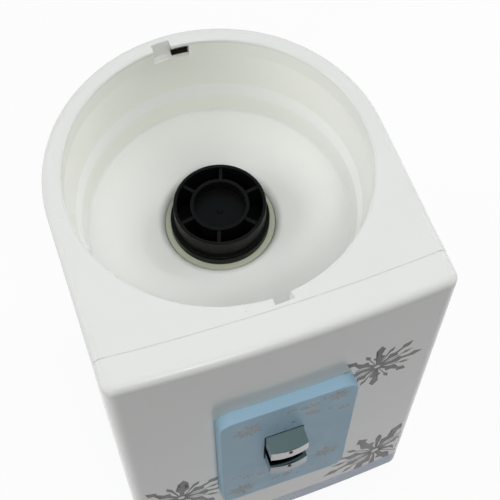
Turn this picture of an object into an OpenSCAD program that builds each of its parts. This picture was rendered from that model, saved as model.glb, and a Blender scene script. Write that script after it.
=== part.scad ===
// Countertop water dispenser with a bottle well, a push lever tap and a thermoelectric cooler.
// Millimetres. +Z is up, -Y is the front, and the origin is under the middle of the whole object.

/* [Housing] */
// Width across the two side walls
body_w = 290; // [284:1:310]
// Height from the underside of the base to the top deck
body_h = 436; // [420:1:460]
// Distance from the well axis to the front face
front_d = 169; // [164:1:180]
// Bow of the front face at its middle, seen from above
front_bow = 4.4; // [2:0.1:7]
// Radius of the two front vertical corners
corner_r = 12; // [10:0.5:18]
// Rounding of the top edge
top_fillet = 8; // [5:0.5:8.5]
// Wall thickness of the moulded shells
wall = 2.8; // [2.4:0.1:3.2]
// How far the front cover wraps back over the top and the sides
front_wrap = 30; // [26:1:32]
// Height of the base tray
base_h = 28; // [24:1:34]
// Depth of the skirt under the top deck
skirt_h = 16; // [13:1:24]
// Gap at every seam between shells
seam = 0.3; // [0.2:0.05:0.4]

/* [Feet] */
// Height of a rubber foot
foot_h = 4; // [3:0.5:8]
// Radius of a rubber foot
foot_r = 12; // [9:0.5:15]

/* [Bottle well] */
// Width of the deck between the collar and the side walls
rim_w = 16.6; // [16:0.1:19]
// Rounding of the collar's top edge
rim_round = 2; // [1:0.25:3]
// Depth of the collar
collar_h = 20; // [18:0.5:26]
// How far the drafted wall comes in from the collar down to the ledge
wall_draft = 5.4; // [3.4:0.1:7]
// How far the ledge runs inwards
ledge_w = 3.3; // [2:0.1:5]
// Depth of the outer side of the ledge
ledge_depth = 55; // [50:1:62]
// Fall of the ledge to its inner edge
ledge_fall = 13; // [6:0.5:14]
// How far the wall comes in from the ledge down to the floor
floor_draft = 3.7; // [2.7:0.1:7]
// Depth of the well floor below the deck
well_depth = 87; // [82:1:95]
// Rounding between the wall and the floor
floor_round = 3; // [2:0.5:9]
// Radius of the hole in the well floor
hole_r = 49; // [46:0.5:52]
// Radius of the soft roll around the hole
hole_roll = 7; // [4:0.5:9]

/* [Bayonet notches] */
// Angle that each entry or undercut takes around the collar
notch_angle = 7; // [5:0.5:9]
// How far a notch is cut behind the collar
notch_depth = 7; // [5:0.5:7.5]
// Height of the notch pocket below the deck
notch_h = 17; // [14:0.5:17]
// Thickness of the lip that stays over the undercut
notch_lip = 4; // [3:0.5:6]

/* [Inlet plug] */
// Radius of the plug's upper rim
plug_rim_r = 40.5; // [38:0.1:42]
// How far the plug's flange stands out from the rim
plug_flange_w = 3.2; // [2.4:0.1:4]
// Height of the plug's top above the well floor
plug_rise = 24; // [18:0.5:28]
// Radius of the inner ring of the plug
plug_ring_r = 25.8; // [22:0.1:28]
// Number of radial ribs in the plug
plug_ribs = 6; // [4:1:8]
// Wall and rib thickness of the plug
plug_wall = 3; // [2.4:0.1:3.6]
// Thickness of the seal ring around the plug
seal_h = 6.5; // [5:0.5:8]

/* [Tap panel] */
// Width of the panel
panel_w = 125.4; // [110:0.2:140]
// Height of the panel
panel_h = 214; // [190:1:240]
// Height of the panel's lower edge above the base's underside
panel_z = 117.2; // [100:0.2:130]
// Distance that the panel stands proud of the front face
panel_proud = 10.8; // [8:0.2:14]
// Corner radius of the panel
panel_corner = 14; // [10:0.5:20]
// Rounding of the panel's front edge
panel_edge = 1.4; // [1:0.1:2.2]

/* [Tap] */
// Width of the lever and of the spout cowl
tap_w = 35; // [30:0.5:40]
// Distance of the tap's middle to the right of the panel's middle
tap_x = -3.5; // [-10:0.5:10]
// Distance that both stand proud of the panel
tap_proud = 17.5; // [16:0.5:20]
// Height of the lever's front lip
lip_h = 16; // [14:0.5:18]
// Height of the top of the lever's lip above the base's underside
lever_z = 267.5; // [258:0.5:272]
// Vertical distance from the lever to the spout cowl
tap_pitch = 37; // [35:0.5:39]
// Bow of the front lips, seen from above, as a radius
lip_bow_r = 66; // [50:1:120]
// Fall of the top plates towards the front
lip_fall = 3.5; // [1:0.5:5]
// Sheet thickness of the lever and of the cowl
tap_sheet = 1.8; // [1.4:0.1:2.2]
// Radius of the lever pin
pin_r = 1.5; // [1.2:0.1:2]

/* [Tank and cooling] */
// Inner radius of the cold tank
tank_r = 54; // [48:1:58]
// How far the tank reaches below the tap's water line
tank_drop = 24.9; // [16:0.1:40]
// Wall of the cold tank
tank_wall = 1.6; // [1.2:0.1:2.5]
// Thickness of the foam jacket
foam_t = 14; // [10:1:18]
// Side of the square thermoelectric module
module_w = 40; // [30:1:50]
// Thickness of the thermoelectric module
module_t = 4; // [3:0.5:5]
// Side of the square heat sink
sink_w = 84; // [70:1:90]
// Length of the heat sink's fins
fin_l = 22; // [16:1:26]
// Number of fins
fin_count = 15; // [9:1:21]
// Side of the square fan
fan_w = 80; // [70:1:84]
// Depth of the fan
fan_t = 20; // [15:1:22]
// Number of fan blades
fan_blades = 7; // [5:1:9]

/* [Rear services] */
// Width of the flat recess at the back
recess_w = 116; // [110:1:124]
// Height of the flat recess at the back
recess_h = 46; // [42:1:60]
// Depth of the flat recess from the very back of the body
recess_depth = 23; // [19:0.5:29]
// Number of vent slots in each row of the rear grille
vent_slots = 9; // [5:1:11]
// Width of a vent slot
vent_w = 4; // [3:0.5:4.5]

/* [Hidden] */
$fn = 64;

BIG = 1000;
half_w = body_w / 2;
collar_r = half_w - rim_w;
ledge_outer_r = collar_r - wall_draft;
ledge_inner_r = ledge_outer_r - ledge_w;
floor_r = ledge_inner_r - floor_draft;
base_z = foot_h;
top_z = foot_h + body_h;
base_top = base_z + base_h;
floor_z = top_z - well_depth;
skirt_z = top_z - skirt_h;

// The two front corners stand on a flat line, and the bow springs from that line just inside them
corner_x = half_w - corner_r;
flat_y = front_bow - front_d;
corner_y = flat_y + corner_r;
spring_x = corner_x - 0.7;
bow_r = round(50 * (pow(spring_x, 2) + pow(front_bow, 2)) / front_bow) / 100;
bow_y = bow_r - front_d;
bow_angle = asin((corner_x - 0.05) / bow_r);
flat_l = 5;
cover_r = bow_r - front_wrap;

// The whole object's reach, which sets where the origin lies
panel_back = 1.4 - front_d;
panel_front = -front_d - panel_proud;
tap_front = panel_front - tap_proud;
well_y = (-tap_front - half_w) / 2;

// Tap: the lever's pin lies just behind the panel's face, and the valve just in front of it
panel_bottom = base_z + panel_z;
panel_mid = panel_bottom + panel_h / 2;
lever_lip = base_z + lever_z;
cowl_lip = lever_lip - tap_pitch;
window_gap = 0.8;
side_clear = 0.4;
window_w = tap_w + 2 * window_gap;
tap_core_w = tap_w - 2 * tap_sheet - 2 * side_clear;
pivot_y = panel_front + 3.5;
pivot_z = lever_lip - 6;
arm = 10;
valve_y = pivot_y - arm;
cam_r = 3;
cam_z = pivot_z - 2;
lever_back = pivot_y + 3;
lens_r = 2.1;
lens_drop = 4.4;
valve_gap = 0.3;
running = 0.06;
stem_r = 2;
piston_r = 4;
chamber_r = piston_r + valve_gap;
chamber_wall = 1.6;
chamber_top = cowl_lip - tap_sheet - 1;
gland_t = 2;
gallery_h = 3.6;
seat_t = 1.6;
seat_r = 3;
seal_t = 2;
piston_t = 2;
spring_l = 6.4;
spring_r = 2.9;
seat_z = chamber_top - gland_t - gallery_h - seat_t;
piston_top = seat_z - valve_gap - seal_t;
spring_floor = piston_top - piston_t - spring_l;
chamber_floor = spring_floor;
tap_floor = chamber_floor - chamber_wall;
window_top = lever_lip + lip_fall + 1.2;
window_bottom = cowl_lip - lip_h - 0.5;
tap_axis_z = chamber_top - gland_t - gallery_h / 2;
flange_y = -front_d + wall + 0.8;
flange_t = 3;
water_r = 4.5;
hose_wall = 2.5;

// Tank
tank_top = floor_z - 18;
tank_bottom = tap_axis_z - tank_drop;
tank_h = tank_top - tank_bottom;
tank_outer = tank_r + tank_wall;
foam_r = tank_outer + foam_t;
lid_t = 3;
lid_lip = 5;
tank_flange_w = 5;
tank_flange_t = 4;
fit = 0.3;
plug_flange_r = plug_rim_r + plug_flange_w;
neck_r = plug_rim_r - 2.5;
seal_top = floor_z - 6.3;
seal_bottom = seal_top - seal_h;
collar_drop = seal_bottom + 0.8;
spigot_l = 18;

// Cooling, stacked behind the tank
cool_z = (tank_top + tank_bottom) / 2;
block_y = foam_r - module_t;
module_y = block_y + module_t;
sink_base = 5;
sink_y = module_y + sink_base + fin_l;
fan_y = sink_y + 0.3;
fin_t = 1.4;
rotor_r = fan_w / 2 - 4;
hub_r = rotor_r * 0.42;
fan_screw_r = 1.6;

// Rear recess
recess_z = base_top + 10;
recess_mid = recess_z + recess_h / 2;
recess_y = half_w - recess_depth;
vent_pitch = 8.4;
vent_l = 17;
inlet_x = -34;
inlet_cut_w = 27.4;
inlet_cut_h = 20;
switch_x = 4;
switch_cut_w = 19.4;
switch_cut_h = 13;
rocker_tilt = 12;
drain_x = 40;
drain_r = 7;
drain_bend = 16;

// Places in the base: two near the front corners, and two on the round of the back
function base_spots(side_in, front_in, back_in, back_angle) = [for (side = [-1, 1])
    each [[side * (half_w - side_in), front_in - front_d],
        [side * (half_w - back_in) * cos(back_angle), (half_w - back_in) * sin(back_angle)]]];
foot_spots = base_spots(33, 33, 23.3, 46.3);
base_screw_spots = base_spots(23, 59, 24.6, 35.5);
screw_r = 1.7;
screw_fit = 0.1;
screw_grip = 12;
boss_r = 5;
boss_h = 44;

// Power board, which stands on four posts in the base
board_x = -30;
board_y = -62;
board_w = 110;
board_d = 72;
board_t = 1.6;
board_z = base_z + wall + 8;
board_grid = board_w / 11;
board_screw_r = 1.5;
board_screw_l = 9;
board_spots = [for (x = [-1, 1], y = [-1, 1])
    [board_x + x * (board_w - board_grid) / 2, board_y + y * (board_d - board_grid) / 2]];

// A corner of an outline replaced by an arc, as points
function unit(v) = v / norm(v);
function turned(v, t) = [v[0] * cos(t) - v[1] * sin(t), v[0] * sin(t) + v[1] * cos(t)];
function rounded(a, b, c, r, n = 6) =
    let (u = unit(a - b), v = unit(c - b), half = acos(u * v) / 2, m = b + unit(u + v) * r / sin(half),
        p = b + u * r / tan(half) - m, q = b + v * r / tan(half) - m,
        turn = (180 - 2 * half) * sign(p[0] * q[1] - p[1] * q[0]))
    [for (i = [0:n]) m + turned(p, turn * i / n)];

// The well's inner outline, from the deck down to the edge of the hole
rim_top = [collar_r + collar_h, top_z];
rim_edge = [collar_r, top_z];
collar_foot = [collar_r, top_z - collar_h];
ledge_top = [ledge_outer_r, top_z - ledge_depth];
ledge_foot = [ledge_inner_r, top_z - ledge_depth - ledge_fall];
ledge_round = 6;
floor_edge = [floor_r, floor_z];
roll_edge = [hole_r + hole_roll, floor_z - 1];
well_line = concat([[collar_r + rim_round + 2, top_z]],
    rounded(rim_top, rim_edge, collar_foot, rim_round), [collar_foot],
    rounded(collar_foot, ledge_top, ledge_foot, ledge_round, 3),
    rounded(ledge_top, ledge_foot, floor_edge, ledge_round, 3),
    rounded(ledge_foot, floor_edge, roll_edge, floor_round), [roll_edge]);

module placed(tint) {
    color(tint) translate([0, well_y, 0]) children();
}

module on_tap(tint) {
    color(tint) translate([tap_x, well_y, 0]) children();
}

// The middle of the body's plan, inside its rounded outline
module plan(inset) {
    circle(r = half_w - inset, $fn = 128);
    translate([inset - half_w, corner_y]) square([2 * (half_w - inset), -corner_y]);
    intersection() {
        translate([0, bow_y]) circle(r = bow_r - inset, $fn = 256);
        translate([-corner_x, -front_d]) square([2 * corner_x, front_d + corner_y + 1]);
    }
}

// Sweeps a profile around the body: x is the distance outwards from the outline, y is the height
module around() {
    rotate_extrude(angle = 180, start = 0, $fn = 128) translate([half_w, 0]) children();
    for (side = [0, 1]) mirror([side, 0, 0]) {
        rotate([90, 0, 0]) linear_extrude(-corner_y) translate([half_w, 0]) children();
        translate([corner_x, corner_y, 0])
            rotate_extrude(angle = 90, start = 270) translate([corner_r, 0]) children();
        translate([corner_x - flat_l, corner_y, 0]) rotate([90, 0, 90])
            linear_extrude(flat_l) mirror([1, 0]) translate([corner_r, 0]) children();
    }
    translate([0, bow_y, 0])
        rotate_extrude(angle = 2 * bow_angle, start = 270 - bow_angle, $fn = 256)
            translate([bow_r, 0]) children();
}

// A wall profile whose top corner turns in through an arc to a short piece of deck
module edge_profile(bottom, top, r, t, reach) {
    difference() {
        intersection() {
            union() {
                translate([-r, bottom]) square([r, top - r - bottom]);
                translate([-r, top - r]) circle(r = r);
            }
            translate([-r, bottom]) square([r, top - bottom]);
        }
        translate([-r - 1, bottom - 1]) square([r + 1 - t, top - r - bottom + 1]);
        translate([-r, top - r]) circle(r = r - t);
    }
    translate([-reach, top - t]) square([reach - r, t]);
}

module deck_shell(bottom) {
    around() edge_profile(bottom, top_z, top_fillet, wall, corner_r);
    translate([0, 0, top_z - wall]) linear_extrude(wall) plan(corner_r - 1);
}

// Everything behind the seam of the front cover, or in front of it
module behind_seam() {
    translate([0, bow_y, -1]) cylinder(r = cover_r - seam, h = BIG, $fn = 256);
}

module ahead_of_seam() {
    difference() {
        translate([-BIG / 2, -BIG / 2, -1]) cube([BIG, BIG / 2, BIG]);
        translate([0, bow_y, -2]) cylinder(r = cover_r, h = BIG + 2, $fn = 256);
    }
}

module rounded_rect(w, h, r) {
    for (x = [-1, 1], y = [-1, 1]) translate([x * (w / 2 - r), y * (h / 2 - r)]) circle(r = r);
    square([w - 2 * r, h], center = true);
    square([w, h - 2 * r], center = true);
}

// Sweeps a profile around a rounded rectangle that lies in the XY plane
module around_rect(w, h, r) {
    for (x = [0, 1], y = [0, 1]) mirror([x, 0, 0]) mirror([0, y, 0])
        translate([w / 2 - r, h / 2 - r, 0])
            rotate_extrude(angle = 90, start = 0) translate([r, 0]) children();
    for (x = [0, 1]) mirror([x, 0, 0]) translate([0, h / 2 - r, 0])
        rotate([90, 0, 0]) linear_extrude(h - 2 * r) translate([w / 2, 0]) children();
    for (y = [0, 1]) mirror([0, y, 0]) translate([-(w / 2 - r), 0, 0])
        rotate([90, 0, 90]) linear_extrude(w - 2 * r) translate([h / 2, 0]) children();
}

// Turns a shape drawn in XY, with its height along Z, to face the front
module facing_front(y, z) {
    translate([0, y, z]) rotate([90, 0, 0]) children();
}

module facing_back(y, z) {
    translate([0, y, z]) rotate([-90, 0, 0]) children();
}

module base_tray() {
    placed("lightsteelblue") {
        difference() {
            union() {
                translate([0, 0, base_z]) linear_extrude(wall) plan(corner_r - 1);
                around() tray_profile();
            }
            for (p = foot_spots) translate([p[0], p[1], base_z - 1]) cylinder(r = foot_r + 0.2, h = 2);
            for (p = base_screw_spots) translate([p[0], p[1], base_z - 1]) {
                cylinder(r = screw_r + 0.3, h = wall + 2);
                cylinder(r = 2 * screw_r + 0.2, h = 2);
            }
            for (x = [-4:4], y = [0:3])
                translate([x * 14 - 3, y * 26 - 40, base_z - 1]) cube([6, 18, wall + 2]);
        }
    }
}

// The tray's wall, with a rebate at the top that stands inside the shells
module tray_profile() {
    difference() {
        translate([-corner_r, base_z]) square([corner_r, base_h + 4]);
        translate([-wall - seam, base_top]) square([2 * wall, 10]);
        translate([-2 * wall, base_z + wall]) square([wall, base_h - 6 - wall]);
        translate([-corner_r - 1, base_z + wall]) square([corner_r + 1 - 2 * wall, base_h + 4]);
    }
}

module rubber_feet() {
    placed("dimgray") for (p = foot_spots) translate([p[0], p[1], 0]) {
        difference() {
            cylinder(r = foot_r, h = foot_h + 1);
            translate([0, 0, -1]) cylinder(r = foot_r / 2, h = 2);
        }
    }
}

module screw(r, l) {
    cylinder(r = 2 * r, h = r);
    cylinder(r = r, h = l);
}

module base_screws() {
    placed("silver") for (p = base_screw_spots) translate([p[0], p[1], base_z + 1 - screw_r])
        difference() {
            screw(screw_r, wall + screw_grip);
            translate([0, 0, -1]) cylinder(r = screw_r * 0.9, h = 2, $fn = 6);
        }
}

module rear_housing() {
    placed("whitesmoke") {
        difference() {
            union() {
                intersection() {
                    around() translate([-wall, base_top + seam])
                        square([wall, skirt_z - seam - base_top - seam]);
                    behind_seam();
                }
                intersection() {
                    translate([-recess_w / 2 - wall, recess_y - wall, recess_z - wall])
                        cube([recess_w + 2 * wall, half_w, recess_h + 2 * wall]);
                    cylinder(r = half_w - wall / 2, h = BIG, $fn = 128);
                }
                for (p = base_screw_spots) translate([p[0], p[1], base_z + wall])
                    cylinder(r = boss_r, h = boss_h);
                for (p = base_screw_spots) boss_rib(p);
            }
            translate([-recess_w / 2, recess_y, recess_z]) cube([recess_w, half_w, recess_h]);
            for (p = base_screw_spots) translate([p[0], p[1], base_z])
                cylinder(r = screw_r + screw_fit, h = wall + screw_grip + 2);
            translate([inlet_x, 0, recess_mid]) cube([inlet_cut_w, BIG, inlet_cut_h], center = true);
            translate([switch_x, 0, recess_mid]) cube([switch_cut_w, BIG, switch_cut_h], center = true);
            facing_back(0, 0) translate([drain_x, -recess_mid, 0]) cylinder(r = drain_r + 0.3, h = BIG);
            for (row = [-1.5, -0.5, 0.5, 1.5], i = [0:vent_slots - 1])
                translate([(i - (vent_slots - 1) / 2) * vent_pitch - vent_w / 2, recess_y - recess_depth,
                    cool_z + row * (vent_l + vent_w) - vent_l / 2]) cube([vent_w, half_w, vent_l]);
        }
    }
}

// A rib from a screw boss out to the side or rear wall
module boss_rib(p) {
    reach = p[1] < 0 ? half_w - abs(p[0]) - wall / 2 : half_w - norm(p) - wall / 2;
    aim = p[1] < 0 ? (p[0] < 0 ? 180 : 0) : atan2(p[1], p[0]);
    translate([p[0], p[1], base_top + 6]) rotate(aim) translate([boss_r - 1, -1, 0])
        cube([reach - boss_r + 1, 2, base_z + wall + boss_h - base_top - 6]);
}

module well_profile() {
    under = [for (i = [len(well_line) - 1:-1:0]) well_line[i] + [wall, -wall]];
    polygon(concat(well_line, [roll_edge + [0, -wall]], [for (p = under) if (p[0] > roll_edge[0] + wall) p]));
}

// The soft roll that turns the floor down into the hole
module roll_profile() {
    translate([hole_r + hole_roll, floor_z - 1 - hole_roll]) intersection() {
        difference() {
            circle(r = hole_roll);
            circle(r = hole_roll - wall);
        }
        translate([-hole_roll, 0]) square(hole_roll);
    }
    translate([hole_r, collar_drop]) square([wall, floor_z - 1 - hole_roll - collar_drop]);
}

module sector(r, a0, a1, h) {
    rotate_extrude(angle = a1 - a0, start = a0) square([r, h]);
}

module notch_housing(start) {
    difference() {
        translate([0, 0, top_z - notch_h - wall])
            sector(collar_r + notch_depth + 2, start - notch_angle - 1, start + notch_angle + 1,
                notch_h + wall / 2);
        translate([0, 0, top_z - notch_h - wall - 1])
            cylinder(r = collar_r + wall / 2, h = notch_h + wall + 2, $fn = 128);
    }
}

// An open entry, an undercut beside it, and a window from the undercut into the body
module notch_cut(start) {
    translate([0, 0, top_z - notch_h])
        sector(collar_r + notch_depth, start, start + notch_angle, notch_h + 1);
    translate([0, 0, top_z - notch_h])
        sector(collar_r + notch_depth, start - notch_angle, start + notch_angle / 2, notch_h - notch_lip);
    translate([0, 0, top_z - notch_h])
        sector(collar_r + notch_depth + 3, start - notch_angle, start - 0.4, notch_h - notch_lip);
}

module top_cover() {
    placed("white") difference() {
        union() {
            intersection() {
                difference() {
                    deck_shell(skirt_z);
                    translate([0, 0, skirt_z]) cylinder(r = collar_r + rim_round, h = BIG, $fn = 128);
                }
                behind_seam();
            }
            rotate_extrude($fn = 128) {
                well_profile();
                roll_profile();
            }
            for (a = [90, 270]) notch_housing(a);
        }
        for (a = [90, 270]) notch_cut(a);
    }
}

module front_cover() {
    placed("snow") difference() {
        intersection() {
            deck_shell(base_top + seam);
            ahead_of_seam();
        }
        facing_front(panel_back, panel_mid)
            linear_extrude(BIG) rounded_rect(panel_w + 2 * seam, panel_h + 2 * seam, panel_corner + seam);
        window_cut(-panel_back - wall - 6, 0);
    }
}

// The window in the panel that the tap comes out of
module window_cut(depth, margin) {
    facing_front(-depth, 0) translate([tap_x - window_w / 2 - margin, window_bottom - margin, 0])
        cube([window_w + 2 * margin, window_top - window_bottom + 2 * margin, BIG]);
}

// The panel's side wall with its rounded front edge, and the rim of the front plate
module panel_profile(depth) {
    difference() {
        union() {
            translate([-wall - 1, 0]) square([wall + 1 - panel_edge, depth]);
            translate([-panel_edge, 0]) square([panel_edge, depth - panel_edge]);
            translate([-panel_edge, depth - panel_edge]) circle(r = panel_edge);
        }
        translate([-wall - 2, -1]) square([2, depth + 1 - wall]);
    }
}

module tap_panel() {
    depth = panel_back - panel_front;
    placed("lightblue") difference() {
        union() {
            facing_front(panel_back, panel_mid) {
                around_rect(panel_w, panel_h, panel_corner) panel_profile(depth);
                translate([0, 0, depth - wall]) linear_extrude(wall)
                    rounded_rect(panel_w - 2 * wall, panel_h - 2 * wall, panel_corner - wall);
            }
            intersection() {
                window_cut(-panel_back, wall);
                translate([-BIG / 2, panel_front, 0]) cube([BIG, BIG, BIG]);
            }
        }
        window_cut(-panel_back - 1, 0);
    }
}

// The awning that the lever and the cowl share: a bowed lip, a falling top plate and two cheeks
module awning(lip_z, back_y, t, drop) {
    intersection() {
        translate([t - tap_w / 2, 0, 0]) rotate([90, 0, 90]) linear_extrude(tap_w - 2 * t)
            polygon([[tap_front + t - 1, lip_z - lip_h - drop], [tap_front + t - 1, lip_z - t],
                [tap_front + 1, lip_z - t], [back_y, lip_z + lip_fall - t],
                [back_y, lip_z - lip_h - drop]]);
        translate([0, tap_front + t + lip_bow_r, lip_z - 2 * lip_h])
            cylinder(r = lip_bow_r, h = 4 * lip_h, $fn = 128);
    }
}

module awning_shell(lip_z, back_y) {
    difference() {
        awning(lip_z, back_y, 0, 0);
        awning(lip_z, back_y + 1, tap_sheet, 1);
        facing_front(tap_front + tap_sheet + 1, lip_z - lens_drop)
            cylinder(r = lens_r + 0.05, h = 6, $fn = 32);
    }
}

module lens(lip_z) {
    facing_front(tap_front + tap_sheet, lip_z - lens_drop)
        cylinder(r = lens_r, h = tap_sheet - 0.3, $fn = 32);
}

module crosswise(r, l) {
    translate([-l / 2, pivot_y, pivot_z]) rotate([0, 90, 0]) cylinder(r = r, h = l, $fn = 32);
}

module tap_lever() {
    on_tap("silver") difference() {
        union() {
            awning_shell(lever_lip, lever_back);
            translate([-6, valve_y, cam_z]) rotate([0, 90, 0]) cylinder(r = cam_r, h = 12, $fn = 32);
            translate([-6, valve_y - cam_r, cam_z])
                cube([12, 2 * cam_r, lever_lip + 0.15 * lip_fall - cam_z]);
        }
        crosswise(pin_r + running, tap_w + 2);
    }
}

module lever_lens() {
    on_tap("black") lens(lever_lip);
}

module cowl_lens() {
    on_tap("black") lens(cowl_lip);
}

module lever_pin() {
    on_tap("gray") crosswise(pin_r, tap_w - 0.6);
}

module spout_cowl() {
    on_tap("silver") difference() {
        awning_shell(cowl_lip, panel_front + 0.3);
        translate([0, valve_y, cowl_lip - 10]) cylinder(r = stem_r + 1, h = 20, $fn = 32);
    }
}

module tap_body() {
    core_bottom = window_bottom + window_gap;
    core_front = panel_front + 0.3;
    slot_h = 2 * (lever_lip - pivot_z + 4);
    on_tap("dimgray") difference() {
        union() {
            translate([-tap_core_w / 2, core_front, core_bottom])
                cube([tap_core_w, flange_y - core_front + 1, pivot_z + 4 - core_bottom]);
            translate([-tap_core_w / 2 + 3, valve_y, core_bottom])
                cube([tap_core_w - 6, core_front - valve_y + 1, chamber_top - core_bottom]);
            translate([-window_w / 2 - 8, flange_y, window_bottom - 8])
                cube([window_w + 16, flange_t, window_top - window_bottom + 16]);
            translate([0, valve_y, tap_floor])
                cylinder(r = chamber_r + chamber_wall, h = chamber_top - tap_floor);
            translate([0, valve_y, tap_floor - 3]) cylinder(r = chamber_r, h = 4);
            facing_back(flange_y, tap_axis_z) cylinder(r = water_r + 1.5, h = spigot_l + 4);
        }
        translate([0, valve_y, seat_z + seat_t]) cylinder(r = chamber_r, h = gallery_h);
        translate([0, valve_y, chamber_floor]) cylinder(r = chamber_r, h = seat_z - chamber_floor);
        translate([0, valve_y, chamber_floor])
            cylinder(r = seat_r, h = chamber_top - gland_t - chamber_floor);
        translate([0, valve_y, tap_floor - 4]) cylinder(r = chamber_r - 1.8, h = chamber_wall + 5);
        translate([0, valve_y, chamber_top - gland_t - 1])
            cylinder(r = stem_r + running, h = gland_t + 2, $fn = 32);
        facing_back(valve_y, tap_axis_z) cylinder(r = 1.5, h = 30);
        facing_back(flange_y, tap_axis_z) cylinder(r = water_r, h = spigot_l + 5);
        crosswise(pin_r + running, tap_w + 2);
        translate([-7, panel_front - 1, pivot_z - slot_h / 2]) cube([14, cam_r + 1, slot_h]);
    }
}

module valve_plunger() {
    on_tap("gray") translate([0, valve_y, piston_top - piston_t]) {
        cylinder(r = piston_r, h = piston_t);
        cylinder(r = stem_r, h = cam_z - cam_r - valve_gap - piston_top + piston_t, $fn = 32);
    }
}

module valve_seal() {
    on_tap("black") translate([0, valve_y, piston_top]) difference() {
        cylinder(r = piston_r, h = seal_t);
        translate([0, 0, -1]) cylinder(r = stem_r + running, h = seal_t + 2, $fn = 32);
    }
}

module valve_spring() {
    turns = 5;
    pitch = spring_l / turns;
    on_tap("silver") translate([0, valve_y, spring_floor]) for (i = [0:turns - 1])
        translate([0, 0, (i + 0.5) * pitch])
            rotate_extrude($fn = 32) translate([spring_r, 0]) circle(r = pitch / 2 - 0.1, $fn = 16);
}

module inlet_plug() {
    top = floor_z + plug_rise;
    foot = floor_z - 10;
    inner_r = plug_rim_r - plug_wall;
    disc_top = top - 13;
    placed("black") {
        rotate_extrude($fn = 96) {
            translate([inner_r, foot]) square([plug_wall, top - foot - 1]);
            translate([inner_r + 1, top - 2]) square([plug_wall - 2, 2]);
            for (x = [inner_r + 1, plug_rim_r - 1]) translate([x, top - 1]) circle(r = 1, $fn = 32);
            translate([plug_rim_r - 1, seal_top + valve_gap]) square([plug_flange_w + 1, 8]);
            translate([plug_rim_r - 1, seal_top + valve_gap + 7]) square([plug_flange_w - 0.2, 3.5]);
            translate([plug_ring_r - plug_wall, foot]) square([plug_wall, top - 1 - foot]);
            translate([0, foot]) square([inner_r + 1, plug_wall]);
            translate([0, disc_top - plug_wall]) square([plug_ring_r - 1, plug_wall]);
            translate([0, disc_top - 1]) square([2, 1.8]);
        }
        for (i = [0:plug_ribs - 1]) rotate(10 + i * 360 / plug_ribs)
            translate([plug_ring_r - 1, -plug_wall / 2, foot])
                cube([inner_r - plug_ring_r + 2, plug_wall, top - 2 - foot]);
    }
}

module neck_seal() {
    placed("darkseagreen") translate([0, 0, seal_bottom]) difference() {
        cylinder(r = hole_r - seam, h = seal_h, $fn = 96);
        translate([0, 0, -1]) cylinder(r = plug_rim_r + 0.4, h = seal_h + 2, $fn = 96);
    }
}

module tank_lid() {
    placed("white") difference() {
        union() {
            translate([0, 0, tank_top]) cylinder(r = foam_r, h = lid_t);
            translate([0, 0, tank_top])
                cylinder(r = hole_r + wall + seam + lid_t, h = seal_bottom + lid_lip - tank_top);
        }
        translate([0, 0, tank_top - 1]) cylinder(r = neck_r, h = BIG);
        translate([0, 0, seal_bottom]) cylinder(r = hole_r + wall + seam, h = BIG);
    }
}

module water_tank() {
    placed("silver") difference() {
        union() {
            translate([0, 0, tank_bottom]) cylinder(r = tank_outer, h = tank_h);
            translate([0, 0, tank_top - tank_flange_t])
                cylinder(r = tank_outer + tank_flange_w, h = tank_flange_t);
            translate([tap_x, 0, 0]) facing_front(1 - tank_r, tap_axis_z)
                cylinder(r = water_r + 1.5, h = foam_t + spigot_l);
            translate([drain_x, 0, tank_bottom - spigot_l]) cylinder(r = water_r + 1.5, h = spigot_l + 1);
        }
        translate([0, 0, tank_bottom + tank_wall]) cylinder(r = tank_r, h = tank_h);
        translate([tap_x, 0, 0]) facing_front(8 - tank_r, tap_axis_z)
            cylinder(r = water_r, h = foam_t + spigot_l + 12);
        translate([drain_x, 0, tank_bottom - spigot_l - 1]) cylinder(r = water_r, h = spigot_l + 4);
    }
}

module foam_jacket() {
    placed("beige") difference() {
        translate([0, 0, tank_bottom - foam_t + seam]) cylinder(r = foam_r, h = tank_h + foam_t - 2 * seam);
        translate([0, 0, tank_bottom]) cylinder(r = tank_outer + fit, h = tank_h + 1);
        translate([0, 0, tank_top - tank_flange_t - fit])
            cylinder(r = tank_outer + tank_flange_w + fit, h = 2 * tank_flange_t);
        translate([tap_x, 0, 0]) facing_front(0, tap_axis_z) cylinder(r = water_r + 1.8, h = BIG);
        translate([drain_x, 0, tank_bottom - foam_t]) cylinder(r = water_r + 1.8, h = foam_t + tank_wall);
        translate([0, BIG / 2, cool_z]) cube([module_w + 1, BIG, module_w + 1], center = true);
    }
}

module outlet_hose() {
    start = foam_r + 1;
    stop = -panel_back - 6;
    placed("ivory") translate([tap_x, 0, 0]) facing_front(-start, tap_axis_z) difference() {
        cylinder(r = water_r + 1.6 + hose_wall, h = stop - start);
        translate([0, 0, -1]) cylinder(r = water_r + 1.6, h = stop - start + 2);
    }
}

module drain_pipe() {
    placed("ivory") difference() {
        union() {
            drain_path(water_r + 1.6 + hose_wall, 0);
            drain_outlet(drain_r + 3, 3 - seam / 2);
            drain_outlet(drain_r, 15);
        }
        drain_path(water_r + 1.6, 1);
        translate([0, -2, 0]) drain_outlet(water_r, 30);
    }
}

// A cylinder on the outlet's line, standing on the inner side of the recess
module drain_outlet(r, h) {
    facing_back(recess_y - wall - 3, recess_mid) translate([drain_x, 0, 0]) cylinder(r = r, h = h);
}

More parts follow.
